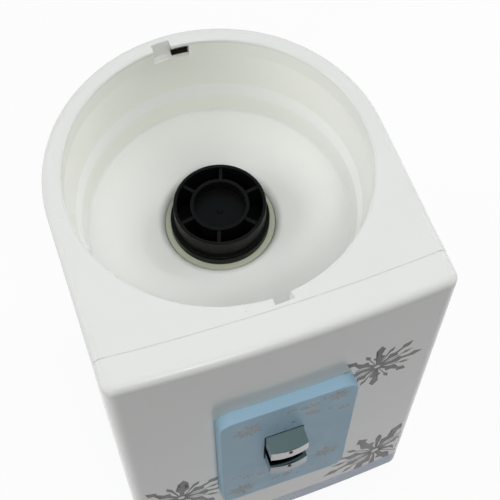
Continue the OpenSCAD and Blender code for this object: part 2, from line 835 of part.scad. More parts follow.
// Down from the tank, round a bend and back to the recess
module drain_path(r, extra) {
    top = tank_bottom - foam_t - 2 + extra;
    back = recess_y - wall - 2 + extra;
    bend_z = recess_mid + drain_bend;
    translate([drain_x, 0, bend_z]) cylinder(r = r, h = top - bend_z);
    translate([drain_x, drain_bend, bend_z]) rotate([0, -90, 0]) rotate([0, 0, 180])
        rotate_extrude(angle = 90) translate([drain_bend, 0]) circle(r = r);
    translate([drain_x, drain_bend, recess_mid]) rotate([-90, 0, 0]) cylinder(r = r, h = back - drain_bend);
}

module drain_cap() {
    placed("lightsteelblue") facing_back(recess_y + 0.3, recess_mid) translate([drain_x, 0, 0]) difference() {
        union() {
            cylinder(r = drain_r + 3.5, h = 15);
            for (a = [0:30:330]) rotate(a) translate([drain_r + 3.2, 0, 0]) cylinder(r = 1, h = 15, $fn = 24);
        }
        translate([0, 0, -1]) cylinder(r = drain_r + 0.3, h = 13.5);
    }
}

module cold_block() {
    placed("silver") difference() {
        translate([-module_w / 2, tank_outer - module_w / 5, cool_z - module_w / 2])
            cube([module_w, block_y - tank_outer + module_w / 5, module_w]);
        translate([0, 0, cool_z - module_w]) cylinder(r = tank_outer + 0.1, h = 2 * module_w);
    }
}

module thermo_module() {
    placed("ivory") translate([-module_w / 2, block_y + 0.05, cool_z - module_w / 2])
        cube([module_w, module_t - 0.1, module_w]);
}

module heat_sink() {
    placed("lightgray") translate([-sink_w / 2, module_y, cool_z - sink_w / 2]) {
        cube([sink_w, sink_base, sink_w]);
        for (i = [0:fin_count - 1])
            translate([i * (sink_w - fin_t) / (fin_count - 1), 0, 0])
                cube([fin_t, sink_base + fin_l, sink_w]);
    }
}

module sink_screws() {
    placed("gray") for (x = [-1, 1], z = [-1, 1])
        translate([x * (fan_w / 2 - 4), fan_y + fan_t + fan_screw_r, cool_z + z * (fan_w / 2 - 4)])
            rotate([90, 0, 0]) screw(fan_screw_r, fan_t + fan_screw_r);
}

module fan_frame() {
    placed("dimgray") difference() {
        union() {
            difference() {
                translate([-fan_w / 2, fan_y, cool_z - fan_w / 2]) cube([fan_w, fan_t, fan_w]);
                facing_back(fan_y - 1, cool_z) cylinder(r = rotor_r + 1, h = fan_t + 2, $fn = 96);
            }
            facing_back(fan_y, cool_z) cylinder(r = hub_r, h = 3);
            for (a = [45:90:315])
                facing_back(fan_y, cool_z) rotate(a) translate([0, -2, 0]) cube([rotor_r + 3, 4, 3]);
            facing_back(fan_y, cool_z) cylinder(r = 3, h = fan_t - 4, $fn = 32);
        }
        for (x = [-1, 1], z = [-1, 1])
            facing_back(fan_y - 1, cool_z + z * (fan_w / 2 - 4)) translate([x * (fan_w / 2 - 4), 0, 0])
                cylinder(r = fan_screw_r + 0.1, h = fan_t + 2, $fn = 32);
    }
}

module fan_rotor() {
    placed("black") facing_back(fan_y, cool_z) difference() {
        union() {
            translate([0, 0, 3.6]) cylinder(r = hub_r, h = fan_t - 4.6);
            for (i = [0:fan_blades - 1]) rotate(i * 360 / fan_blades) translate([hub_r - 2, 0, fan_t / 2 + 1])
                rotate([38, 0, 0]) translate([0, -9, -0.8]) cube([rotor_r - hub_r + 1.2, 18, 1.6]);
        }
        translate([0, 0, 3]) cylinder(r = 3 + running, h = fan_t - 6.5, $fn = 32);
    }
}

module power_board() {
    placed("darkgreen") difference() {
        union() {
            translate([board_x - board_w / 2, board_y - board_d / 2, board_z])
                cube([board_w, board_d, board_t]);
            for (p = board_spots) translate([p[0], p[1], base_z + wall])
                cylinder(r = 4, h = board_z - base_z - wall);
        }
        for (p = board_spots) translate([p[0], p[1], base_z + wall + 1]) cylinder(r = 1.6, h = 20, $fn = 32);
    }
}

module board_parts() {
    g = board_grid;
    placed("darkorange") translate([board_x, board_y, board_z + board_t]) {
        translate([-4 * g, -2.6 * g, 0]) cube([3 * g, 2.6 * g, 2.4 * g]);
        translate([-3.8 * g, 0.8 * g, 0]) cube([2.4 * g, 1.8 * g, 1.6 * g]);
        for (i = [0:2]) translate([1.6 * i * g, -2 * g, 0]) cylinder(r = 0.63 * g, h = 2.2 * g);
        translate([-0.2 * g, 0.6 * g, 0]) cube([3.6 * g, 0.3 * g, 2.6 * g]);
        for (i = [0:4]) translate([(0.825 * i - 0.2) * g, 0.9 * g, 0]) cube([0.3 * g, 1.2 * g, 2.6 * g]);
        translate([3.4 * g, -0.4 * g, 0]) cube([g, 0.9 * g, 0.9 * g]);
    }
}

module board_screws() {
    placed("silver") for (p = board_spots)
        translate([p[0], p[1], board_z + board_t + board_screw_r]) rotate([180, 0, 0])
            screw(board_screw_r, board_screw_l);
}

module power_inlet() {
    placed("black") facing_back(recess_y, recess_mid) translate([inlet_x, 0, 0]) difference() {
        union() {
            linear_extrude(3) rounded_rect(31, 24, 3);
            translate([0, 0, -18]) linear_extrude(19) square([27, 19.6], center = true);
        }
        translate([0, 0, -15]) linear_extrude(20)
            polygon([[-12, -8], [12, -8], [12, 4], [8, 8], [-8, 8], [-12, 4]]);
    }
}

module inlet_pins() {
    placed("silver") facing_back(recess_y, recess_mid) translate([inlet_x, 0, 0]) {
        for (x = [-7, 7]) translate([x - 1, -4, -15]) cube([2, 4, 13]);
        translate([-1, 1, -15]) cube([2, 4, 14.5]);
    }
}

module switch_frame() {
    placed("black") facing_back(recess_y, recess_mid) translate([switch_x, 0, 0]) difference() {
        union() {
            linear_extrude(2) rounded_rect(23, 17, 2);
            translate([0, 0, -16]) linear_extrude(17) square([19, 12.6], center = true);
        }
        translate([0, 0, -12]) linear_extrude(20) square([16, 10], center = true);
    }
}

module switch_rocker() {
    placed("red") facing_back(recess_y, recess_mid) translate([switch_x, 0, -3]) rotate([90, 0, 0])
        difference() {
            cylinder(r = 7.6, h = 9.4, center = true);
            rotate(-rocker_tilt) translate([0, 26, 0]) cylinder(r = 24, h = 20, center = true);
        }
}

module temperature_probe() {
    placed("gray") rotate(225) translate([foam_r - 8, 0, tank_top + lid_t]) cylinder(r = 5, h = 3);
}

base_tray();
rubber_feet();
base_screws();
rear_housing();
top_cover();
front_cover();
tap_panel();
tap_body();
spout_cowl();
cowl_lens();
tap_lever();
lever_lens();
lever_pin();
valve_plunger();
valve_seal();
valve_spring();
inlet_plug();
neck_seal();
tank_lid();
water_tank();
foam_jacket();
outlet_hose();
drain_pipe();
drain_cap();
cold_block();
thermo_module();
heat_sink();
sink_screws();
fan_frame();
fan_rotor();
power_board();
board_parts();
board_screws();
power_inlet();
inlet_pins();
switch_frame();
switch_rocker();
temperature_probe();
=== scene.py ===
import math

import bmesh
import bpy
from mathutils import Matrix, Vector
from mathutils.bvhtree import BVHTree

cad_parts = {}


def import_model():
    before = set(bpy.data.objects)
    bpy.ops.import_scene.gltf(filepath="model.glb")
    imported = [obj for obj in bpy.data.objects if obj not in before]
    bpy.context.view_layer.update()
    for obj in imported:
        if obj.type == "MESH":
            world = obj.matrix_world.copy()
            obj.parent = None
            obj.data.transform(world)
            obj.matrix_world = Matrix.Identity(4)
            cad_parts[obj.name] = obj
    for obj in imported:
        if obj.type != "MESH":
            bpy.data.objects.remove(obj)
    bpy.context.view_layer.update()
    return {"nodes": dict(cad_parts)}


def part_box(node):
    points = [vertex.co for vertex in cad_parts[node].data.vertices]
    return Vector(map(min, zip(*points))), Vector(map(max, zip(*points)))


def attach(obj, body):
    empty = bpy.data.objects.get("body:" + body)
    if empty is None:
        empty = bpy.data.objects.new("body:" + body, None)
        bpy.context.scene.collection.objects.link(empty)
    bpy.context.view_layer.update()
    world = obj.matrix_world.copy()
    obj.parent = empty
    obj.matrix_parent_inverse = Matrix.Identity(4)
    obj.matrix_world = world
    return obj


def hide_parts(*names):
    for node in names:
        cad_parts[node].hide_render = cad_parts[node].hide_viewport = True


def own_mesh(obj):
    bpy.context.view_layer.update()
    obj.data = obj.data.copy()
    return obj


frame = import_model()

MM = 0.001
NODES = frame["nodes"]


# ---------------------------------------------------------------- frame measures

def surface(node):
    """A search tree of a CAD node's mesh, for finding points on its surface."""
    mesh = bmesh.new()
    mesh.from_mesh(NODES[node].data)
    tree = BVHTree.FromBMesh(mesh)
    mesh.free()
    return tree


def hit(tree, start, direction):
    """The first point of a surface along a ray, or None."""
    return tree.ray_cast(Vector(start), Vector(direction))[0]


front_surface = surface("front_cover")
panel_surface = surface("tap_panel")
plug_surface = surface("inlet_plug")
panel_low, panel_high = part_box("tap_panel")
tray_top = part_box("base_tray")[1].z
front_low, front_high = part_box("front_cover")
plug_low, plug_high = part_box("inlet_plug")
well = (plug_low + plug_high) / 2
deck = front_high.z

# The collar of the bottle well and the thickness of its wall. Then depths below the deck: the start of the
# walls' painted bounce light under the collar's edge, the ledge's painted lighter band, and the end of that
# painted light just above the floor.
WELL_R = 128.4 * MM
COLLAR_WALL = 2.8 * MM
WALL_TOP = 4 * MM
LEDGE_TOP = 54.5 * MM
LEDGE_FOOT = 68 * MM
WALL_FOOT = 85 * MM

# The bayonet notches: how far they are cut behind the collar, their height below the deck, the lip over each
# undercut, and the angles of the window behind it, in degrees from +X. The other window is half a turn on.
NOTCH_DEPTH = 7 * MM
NOTCH_H = 17 * MM
NOTCH_LIP = 4 * MM
NOTCH_WINDOW = (83.1, 89.6)

# Within the thickness of the shell's side walls: their inner face lies inside it, and the outer skin outside
SHELL_R = (front_high.x - front_low.x) / 2 - 1.9 * MM


# ---------------------------------------------------------------- material kit

DUST = (0.25, 0.22, 0.18)


def node_of(tree, kind, inputs=(), **settings):
    """Adds a shader node. Inputs map a socket's name or number to a value or to another node's output."""
    made = tree.nodes.new(kind)
    for key, value in settings.items():
        setattr(made, key, value)
    for key, value in dict(inputs).items():
        if isinstance(value, bpy.types.NodeSocket):
            tree.links.new(value, made.inputs[key])
        else:
            made.inputs[key].default_value = value
    return made


def shader(made):
    """The Principled shader of a material."""
    return made.node_tree.nodes["Principled BSDF"]


def material(name):
    """A new material with its tree and its Principled shader."""
    made = bpy.data.materials.new(name)
    made.use_nodes = True
    return made, made.node_tree, shader(made)


def tuned(made, **sockets):
    """The material, with sockets of its Principled shader set. Their names have _ for a space."""
    for name, value in sockets.items():
        shader(made).inputs[name.replace("_", " ")].default_value = value
    return made


def place(tree, stretch=(1, 1, 1)):
    """Object coordinates in metres, stretched along the axes."""
    where = node_of(tree, "ShaderNodeTexCoord").outputs["Object"]
    return node_of(tree, "ShaderNodeMapping", {"Vector": where, "Scale": stretch}).outputs[0]


def noise(tree, scale, detail=3.0, stretch=(1, 1, 1)):
    """Noise from 0 to 1 with that many cells in a metre."""
    made = node_of(tree, "ShaderNodeTexNoise",
                   {"Vector": place(tree, stretch), "Scale": scale, "Detail": detail})
    return made.outputs["Fac"]


def span(tree, value, low, high, start=0.3, stop=0.7):
    """A value from start to stop, mapped to low to high."""
    made = node_of(tree, "ShaderNodeMapRange", {0: value, 1: start, 2: stop, 3: low, 4: high})
    return made.outputs[0]


def blend_colour(tree, share, first, second):
    """Two colours mixed by a share from 0 to 1."""
    made = node_of(tree, "ShaderNodeMix", {"Factor": share}, data_type="RGBA")
    for socket, colour in ((made.inputs[6], first), (made.inputs[7], second)):
        if isinstance(colour, bpy.types.NodeSocket):
            tree.links.new(colour, socket)
        else:
            socket.default_value = (*colour, 1)
    return made.outputs[2]


def bump(tree, height, depth, under=None):
    """A bump of a depth in metres, over another bump if there is one."""
    made = node_of(tree, "ShaderNodeBump", {"Height": height, "Distance": depth, "Strength": 1.0})
    if under:
        tree.links.new(under, made.inputs["Normal"])
    return made.outputs[0]


def math_of(tree, operation, first, second):
    """The result of a math node for two numbers or sockets."""
    return node_of(tree, "ShaderNodeMath", {0: first, 1: second}, operation=operation).outputs[0]


def both(tree, first, second):
    """1 where two masks are 1."""
    return math_of(tree, "MULTIPLY", first, second)


def vector_of(tree, operation, *vectors):
    """A vector math node for its vectors or sockets."""
    return node_of(tree, "ShaderNodeVectorMath", dict(enumerate(vectors)), operation=operation)


def band(tree, value, low, high, soft=0.5 * MM):
    """1 where a value lies between low and high, with soft ends, and 0 elsewhere."""
    return both(tree, span(tree, value, 0, 1, low - soft, low + soft),
                span(tree, value, 1, 0, high - soft, high + soft))


def shade(colour, factor):
    """A colour made darker or lighter by a factor."""
    return tuple(min(1.0, c * factor) for c in colour)


def specks(tree, scale, size):
    """Sparse small specks: 1 in a speck, and 0 elsewhere."""
    cells = node_of(tree, "ShaderNodeTexVoronoi", {"Vector": place(tree), "Scale": scale})
    near = span(tree, cells.outputs["Distance"], 1, 0, size * 0.6, size)
    rare = node_of(tree, "ShaderNodeSeparateColor", {0: cells.outputs["Color"]}).outputs[0]
    return both(tree, near, math_of(tree, "GREATER_THAN", rare, 0.9))


def relief(tree, principled, grain, detail, depth, round_edge, stretch=(1, 1, 1)):
    """A fine skin of that many cells in a metre, and edges that catch the light as rounded ones do."""
    edge = None
    if round_edge:
        edge = node_of(tree, "ShaderNodeBevel", {"Radius": round_edge}, samples=4).outputs[0]
    tree.links.new(bump(tree, noise(tree, grain, detail, stretch), depth, edge), principled.inputs["Normal"])


def moulded(name, colour, roughness, spread=0.03, grain=2500, depth=0.004 * MM, dust=0.0, round_edge=0.0):
    """Moulded plastic or rubber: slow colour drift, a fine skin, gloss that varies, and a little dust."""
    made, tree, principled = material(name)
    drift = span(tree, noise(tree, 14), 0, 1)
    tint = blend_colour(tree, drift, shade(colour, 1 - spread), shade(colour, 1 + spread))
    if dust:
        tint = blend_colour(tree, math_of(tree, "MULTIPLY", specks(tree, 90, 0.06), dust), tint, DUST)
    tree.links.new(tint, principled.inputs["Base Color"])
    gloss = span(tree, noise(tree, 60, 4), roughness * 0.85, roughness * 1.2)
    tree.links.new(gloss, principled.inputs["Roughness"])
    relief(tree, principled, grain, 2, depth, round_edge)
    return made


def metal(name, colour, roughness, stretch=(1, 1, 1), grain=900, depth=0.003 * MM, round_edge=0.0):
    """Metal with drawn or turned lines, smudges in its gloss and rounded edges."""
    made, tree, principled = material(name)
    principled.inputs["Metallic"].default_value = 1.0
    tint = blend_colour(tree, span(tree, noise(tree, 35), 0, 1), shade(colour, 0.93), shade(colour, 1.04))
    tree.links.new(tint, principled.inputs["Base Color"])
    gloss = span(tree, noise(tree, 120, 4), roughness * 0.7, roughness * 1.4)
    tree.links.new(gloss, principled.inputs["Roughness"])
    relief(tree, principled, grain, 3, depth, round_edge, stretch)
    return made


# ---------------------------------------------------------------- materials

ROUND_EDGE = 0.6 * MM
# Painted light and painted shade: tones mixed into the well's white, and the dark colour for chrome that
# faces down
REAR_WALL_PAINTED_BOUNCE = (0.99, 1.0, 0.90)
LEDGE_PAINTED_LIGHT = (1.0, 1.0, 0.965)
UNLIT_PAINTED_SHADE = (0.03, 0.024, 0.018)
DOWN_FACING_PAINTED_SHADE = (0.03, 0.03, 0.032)


def shell_white():
    """Glossy white shell with a faint ripple from the mould, a warm drift of tone and a few dust specks."""
    made = moulded("shell_white", (0.92, 0.92, 0.875), 0.2, spread=0.008, grain=160, depth=0.008 * MM,
                   dust=0.3, round_edge=ROUND_EDGE)
    return tuned(made, Specular_IOR_Level=0.35, Coat_Weight=0.12, Coat_Roughness=0.06)


def cover_white():
    """The shell's white, with painted light on the well's rear walls (a yellower tone) and on its ledge (a
    paler band), and painted shade (dark) inside the body.
    """
    made = shell_white()
    made.name = "cover_white"
    tree = made.node_tree

    # Where a point lies: its reach from the well's axis, its depth below the deck, its angle in a half turn
    where = node_of(tree, "ShaderNodeTexCoord").outputs["Object"]
    offset = vector_of(tree, "ADD", where, (-well.x, -well.y, 0)).outputs[0]
    flat = vector_of(tree, "MULTIPLY", offset, (1, 1, 0)).outputs[0]
    reach = vector_of(tree, "LENGTH", flat).outputs["Value"]
    across, back, height = node_of(tree, "ShaderNodeSeparateXYZ", {0: offset}).outputs
    depth = math_of(tree, "SUBTRACT", deck, height)
    angle = math_of(tree, "ADD", math_of(tree, "ARCTAN2", back, across), 2 * math.pi)
    angle = math_of(tree, "MODULO", angle, math.pi)

    in_well = math_of(tree, "LESS_THAN", reach, WELL_R + 1.5 * MM)
    rear = span(tree, back, 0, 1, 0, WELL_R)
    walls = math_of(tree, "ADD", band(tree, depth, WALL_TOP, LEDGE_TOP),
                    band(tree, depth, LEDGE_FOOT, WALL_FOOT))
    # Painted light: the ledge band is painted paler
    ledge = band(tree, depth, LEDGE_TOP, LEDGE_FOOT)

    # Painted shade: the inside of the body past the notches, and what lies behind the window of each notch,
    # painted dark as unlit
    body = both(tree, band(tree, reach, WELL_R + NOTCH_DEPTH + 1 * MM, SHELL_R),
                math_of(tree, "GREATER_THAN", depth, NOTCH_LIP - 0.1 * MM))
    behind = both(tree, band(tree, reach, WELL_R + COLLAR_WALL + 0.4 * MM, SHELL_R),
                  band(tree, depth, NOTCH_LIP + 0.2 * MM, NOTCH_H + 1 * MM))
    behind = both(tree, behind, band(tree, angle, *map(math.radians, NOTCH_WINDOW), soft=0.001))

    base = shader(made).inputs["Base Color"]
    colour = base.links[0].from_socket
    # Painted bounce light on the rear walls, painted light on the ledge and painted shade inside the body,
    # mixed over the white
    for share, tone in ((both(tree, both(tree, rear, walls), in_well), REAR_WALL_PAINTED_BOUNCE),
                        (both(tree, ledge, in_well), LEDGE_PAINTED_LIGHT),
                        (math_of(tree, "MAXIMUM", body, behind), UNLIT_PAINTED_SHADE)):
        colour = blend_colour(tree, share, colour, tone)
    tree.links.new(colour, base)
    return made


def chrome_pressing(name, colour):
    """Polished chrome pressing, with painted shade on what faces down: a dark colour and a duller gloss
    there.
    """
    made = metal(name, colour, 0.07, grain=220, depth=0.006 * MM, round_edge=ROUND_EDGE)
    tree = made.node_tree
    facing = node_of(tree, "ShaderNodeTexCoord").outputs["Normal"]
    height = node_of(tree, "ShaderNodeSeparateXYZ", {0: facing}).outputs[2]
    # Painted shade: faces that point down get a dark colour and a rough gloss
    down = span(tree, height, 1, 0, -0.6, -0.3)
    for key, dull in (("Base Color", DOWN_FACING_PAINTED_SHADE), ("Roughness", (0.6, 0.6, 0.6))):
        socket = shader(made).inputs[key]
        polished = socket.links[0].from_socket
        tree.links.new(blend_colour(tree, down, polished, dull), socket)
    return made


def foam():
    """Expanded foam with closed cells."""
    made, tree, principled = material("foam")
    cells = node_of(tree, "ShaderNodeTexVoronoi", {"Vector": place(tree), "Scale": 420}).outputs["Distance"]
    tint = blend_colour(tree, span(tree, cells, 0, 1, 0, 0.8), (0.80, 0.78, 0.70), (0.66, 0.63, 0.55))
    tree.links.new(tint, principled.inputs["Base Color"])
    tree.links.new(bump(tree, cells, 0.5 * MM), principled.inputs["Normal"])
    return tuned(made, Roughness=0.85)


def board_green():
    """Green circuit board with lighter copper runs under the lacquer."""
    made, tree, principled = material("board_green")
    bricks = {"Vector": place(tree), "Scale": 60, "Mortar Size": 0.03}
    runs = node_of(tree, "ShaderNodeTexBrick", bricks).outputs["Fac"]
    tint = blend_colour(tree, runs, (0.012, 0.11, 0.045), (0.05, 0.24, 0.10))
    tree.links.new(tint, principled.inputs["Base Color"])
    tree.links.new(bump(tree, runs, 0.05 * MM), principled.inputs["Normal"])
    return tuned(made, Roughness=0.35)


def board_bits():
    """Moulded and wound components, each in its own tone by where it stands."""
    made, tree, principled = material("board_bits")
    ramp = node_of(tree, "ShaderNodeValToRGB", {0: noise(tree, 22, 0)})
    ramp.color_ramp.interpolation = "CONSTANT"
    stops = ramp.color_ramp.elements
    stops[0].color = (0.02, 0.02, 0.02, 1)
    for stop, colour in ((0.45, (0.35, 0.27, 0.03, 1)), (0.55, (0.03, 0.06, 0.12, 1))):
        stops.new(stop).color = colour
    stops.remove(stops[-1])
    tree.links.new(ramp.outputs[0], principled.inputs["Base Color"])
    tree.links.new(bump(tree, noise(tree, 1500), 0.03 * MM), principled.inputs["Normal"])
    return tuned(made, Roughness=0.5)


WHITE = shell_white()
COVER = cover_white()
PANEL = tuned(moulded("panel_blue", (0.46, 0.695, 0.845), 0.38, spread=0.012, grain=900, depth=0.002 * MM,
                      round_edge=ROUND_EDGE), Specular_IOR_Level=0.15)
BASE = moulded("base_blue", (0.42, 0.52, 0.68), 0.3, spread=0.03, grain=1200, depth=0.006 * MM,
               round_edge=ROUND_EDGE)
CHROME = chrome_pressing("chrome", (0.275, 0.268, 0.268))
# Painted shade: the cowl's chrome is a darker, bluer copy of the lever's chrome
SHADED_CHROME_COPY = chrome_pressing("shaded_chrome_copy", (0.125, 0.134, 0.143))
STEEL = metal("steel", (0.52, 0.52, 0.51), 0.28, stretch=(1, 1, 12), grain=500, depth=0.01 * MM)
ALUMINIUM = metal("aluminium", (0.66, 0.67, 0.68), 0.35, stretch=(1, 8, 1), grain=700, depth=0.01 * MM)
ZINC = metal("zinc", (0.60, 0.60, 0.57), 0.32, grain=1200, depth=0.01 * MM)
BLACK = tuned(moulded("plug_black", (0.006, 0.0055, 0.005), 0.34, spread=0.1, grain=700, depth=0.01 * MM,
                      dust=0.25, round_edge=ROUND_EDGE), Specular_IOR_Level=0.13)
TAP_BLACK = moulded("tap_black", (0.02, 0.021, 0.024), 0.5, spread=0.1, grain=2200, depth=0.01 * MM)
GLOSS_BLACK = moulded("gloss_black", (0.01, 0.01, 0.011), 0.12, spread=0.1)
FAN_BLACK = moulded("fan_black", (0.022, 0.022, 0.023), 0.55, spread=0.1, grain=1800, depth=0.02 * MM)
INLET_BLACK = moulded("inlet_black", (0.018, 0.018, 0.019), 0.5, spread=0.08, grain=2600, depth=0.01 * MM)
RUBBER = moulded("rubber", (0.03, 0.03, 0.03), 0.78, spread=0.15, grain=1600, depth=0.03 * MM)
SEAL = moulded("seal_rubber", (0.60, 0.625, 0.48), 0.35, spread=0.06, grain=900, depth=0.01 * MM)
LIGHT_PLASTIC = moulded("natural_plastic", (0.66, 0.67, 0.64), 0.4, spread=0.04, grain=900, depth=0.01 * MM)
CERAMIC = moulded("ceramic", (0.78, 0.78, 0.74), 0.6, spread=0.05, grain=3000, depth=0.01 * MM)
GREY_INK = tuned(moulded("grey_ink", (0.105, 0.107, 0.101), 0.3, spread=0.06, grain=160, depth=0.008 * MM),
                 Specular_IOR_Level=0.2)
PANEL_INK = moulded("panel_ink", (0.34, 0.375, 0.39), 0.4, spread=0.08, grain=3500, depth=0.003 * MM)
WHITE_INK = moulded("white_ink", (0.75, 0.75, 0.74), 0.4, spread=0.04)
FOAM = foam()
BOARD = board_green()
BITS = board_bits()
HOSE = tuned(moulded("soft_hose", (0.72, 0.72, 0.66), 0.45, spread=0.05, grain=900, depth=0.01 * MM),
             Subsurface_Weight=0.3, Subsurface_Radius=(0.003, 0.003, 0.002))

LOOKS = {
    "base_tray": BASE, "rubber_feet": RUBBER, "base_screws": ZINC, "rear_housing": WHITE, "top_cover": COVER,
    "front_cover": WHITE, "tap_panel": PANEL, "tap_body": TAP_BLACK, "spout_cowl": SHADED_CHROME_COPY,
    "cowl_lens": GLOSS_BLACK, "tap_lever": CHROME, "lever_lens": GLOSS_BLACK, "lever_pin": STEEL,
    "valve_plunger": STEEL, "valve_seal": RUBBER, "valve_spring": STEEL, "inlet_plug": BLACK,
    "neck_seal": SEAL, "tank_lid": LIGHT_PLASTIC, "water_tank": STEEL, "foam_jacket": FOAM,
    "outlet_hose": HOSE, "drain_pipe": HOSE, "drain_cap": BASE, "cold_block": ALUMINIUM,
    "thermo_module": CERAMIC, "heat_sink": ALUMINIUM, "sink_screws": ZINC, "fan_frame": FAN_BLACK,
    "fan_rotor": FAN_BLACK, "power_board": BOARD, "board_parts": BITS, "board_screws": ZINC,
    "power_inlet": INLET_BLACK, "inlet_pins": ZINC, "switch_frame": INLET_BLACK, "switch_rocker": GLOSS_BLACK,
    "temperature_probe": STEEL,
}


def dress_nodes():
    """Gives each CAD node its look."""
    for name, node in NODES.items():
        node.data.materials.clear()
        node.data.materials.append(LOOKS[name])


# ---------------------------------------------------------------- mesh kit

def piece(name, mesh, look, body, smooth=False):
    """A new piece from a bmesh, with its material, on its body."""
    data = bpy.data.meshes.new(name)
    bmesh.ops.recalc_face_normals(mesh, faces=mesh.faces)
    mesh.to_mesh(data)
    mesh.free()
    for face in data.polygons:
        face.use_smooth = smooth
    data.materials.append(look)
    made = bpy.data.objects.new(name, data)
    bpy.context.scene.collection.objects.link(made)
    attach(made, body)
    return made


def flat_shapes(outlines):
    """A flat mesh in the XZ plane from closed outlines of (x, z) points."""
    mesh = bmesh.new()
    for outline in outlines:
        mesh.faces.new([mesh.verts.new((x, 0, z)) for x, z in outline])
    bmesh.ops.triangulate(mesh, faces=mesh.faces)
    return mesh


def cut(mesh, at, normal, drop=False):
    """Cuts the mesh at a plane through a point, and drops what lies behind the plane if asked to."""
    bmesh.ops.bisect_plane(mesh, geom=mesh.verts[:] + mesh.edges[:] + mesh.faces[:], plane_co=at,
                           plane_no=normal, clear_inner=drop, dist=1e-7)


def around(sides):
    """That many angles around a full turn."""
    return [2 * math.pi * k / sides for k in range(sides)]


def skin(mesh, loops):
    """Joins neighbouring loops of vertices with quads, and closes both ends."""
    sides = len(loops[0])
    for first, second in zip(loops, loops[1:]):
        for k in range(sides):
            mesh.faces.new((first[k], first[(k + 1) % sides], second[(k + 1) % sides], second[k]))
    mesh.faces.new(loops[0])
    mesh.faces.new(list(reversed(loops[-1])))


def printed(name, mesh, tree, look, body, lift=0.05 * MM):
    """Lays a flat mesh on a surface that faces the front, so that it stands out by the lift."""
    for vert in mesh.verts:
        on = hit(tree, (vert.co.x, -1, vert.co.z), (0, 1, 0))
        vert.co.y = on.y - lift

    # A rim that runs back into the surface
    edges = [e for e in mesh.edges if e.is_boundary]
    made = bmesh.ops.extrude_edge_only(mesh, edges=edges)
    for vert in [v for v in made["geom"] if isinstance(v, bmesh.types.BMVert)]:
        vert.co.y += lift * 1.4
    return piece(name, mesh, look, body)


# ---------------------------------------------------------------- prints

def turned(points, angle, x, z, size):
    """Points of (along, across), turned by an angle and placed."""
    c, s = math.cos(angle), math.sin(angle)
    return [(x + size * (a * c - b * s), z + size * (a * s + b * c)) for a, b in points]


def mirrored(half):
    """An outline along an arm, from its upper half."""
    return half + [(a, -b) for a, b in reversed(half) if abs(b) > 1e-9]


# Arms of snowflakes, as (along, across) from the middle to the tip, in shares of the flake's size
ARROW_ARM = mirrored([(0.08, 0.026), (0.14, 0.045), (0.32, 0.047), (0.455, 0.13), (0.48, 0.12), (0.53, 0.044),
                      (0.72, 0.038), (0.80, 0.10), (0.83, 0.095), (1.0, 0.0)])
BUD_ARM = mirrored([(0.12, 0.011), (0.55, 0.013), (0.655, 0.055), (0.81, 0.0)])
NEEDLE_ARM = mirrored([(0.08, 0.03), (0.34, 0.045), (0.54, 0.135), (0.60, 0.115), (0.57, 0.045),
                       (0.80, 0.045), (1.0, 0.0)])
THIN_ARM = mirrored([(0.14, 0.015), (0.5, 0.045), (0.84, 0.0)])


def ring(x, z, inner, outer, sides=8):
    """A ring as one outline per side."""
    angles = [2 * math.pi * (k + 0.5) / sides for k in range(sides + 1)]
    corners = [(math.cos(a), math.sin(a)) for a in angles]
    return [[(x + inner * p[0], z + inner * p[1]), (x + outer * p[0], z + outer * p[1]),
             (x + outer * q[0], z + outer * q[1]), (x + inner * q[0], z + inner * q[1])]
            for p, q in zip(corners, corners[1:])]


def snowflake(x, z, size, turn=0.0, arms=8, main=ARROW_ARM, between=BUD_ARM):
    """A snowflake of main arms and finer ones between them, around a small ring."""
    step = 2 * math.pi / arms
    start = math.radians(turn)
    shapes = ring(x, z, 0.07 * size, 0.14 * size, arms)
    for k in range(arms):
        shapes.append(turned(main, start + k * step, x, z, size))
        shapes.append(turned(between, start + (k + 0.5) * step, x, z, size))
    return shapes


def ribbon(x, z, size, turn, bend, length, width):
    """A ribbon that curls tighter along its length and ends in a point, as one quad after another."""
    steps = 14
    heading, px, pz = math.radians(turn), x, z
    left, right = [], []
    for k in range(steps + 1):
        share = k / steps
        half = width * size * math.sin(math.pi * min(1, 0.25 + 0.75 * share)) + 0.05 * width * size
        left.append((px - half * math.sin(heading), pz + half * math.cos(heading)))
        right.append((px + half * math.sin(heading), pz - half * math.cos(heading)))
        stride = length * size / steps
        px += stride * math.cos(heading)
        pz += stride * math.sin(heading)
        heading += math.radians(bend) * (0.35 + 1.6 * share) / steps
    return [[left[k], right[k], right[k + 1], left[k + 1]] for k in range(steps)]


def curl(x, z, size, turn):
    """A small scroll: three ribbons that curl away from one root."""
    ribbons = []
    for side, angle, length in ((1, 0, 1.9), (-1, 55, 1.3), (1, 180, 1.5)):
        root = (x + 0.12 * size * math.cos(math.radians(turn + angle)),
                z + 0.12 * size * math.sin(math.radians(turn + angle)))
        ribbons += ribbon(*root, size, turn + angle, side * 330, length, 0.085)
    return ribbons


def disc(x, z, radius, sides=20):
    """A round dot."""
    return [[(x + radius * math.cos(a), z + radius * math.sin(a)) for a in around(sides)]]


def leaf(x, z, size, width, turn, sides=24):
    """An oval leaf, with its width as a share of its length."""
    oval = [(math.cos(a), width * math.sin(a)) for a in around(sides)]
    return [turned(oval, math.radians(turn), x, z, size)]


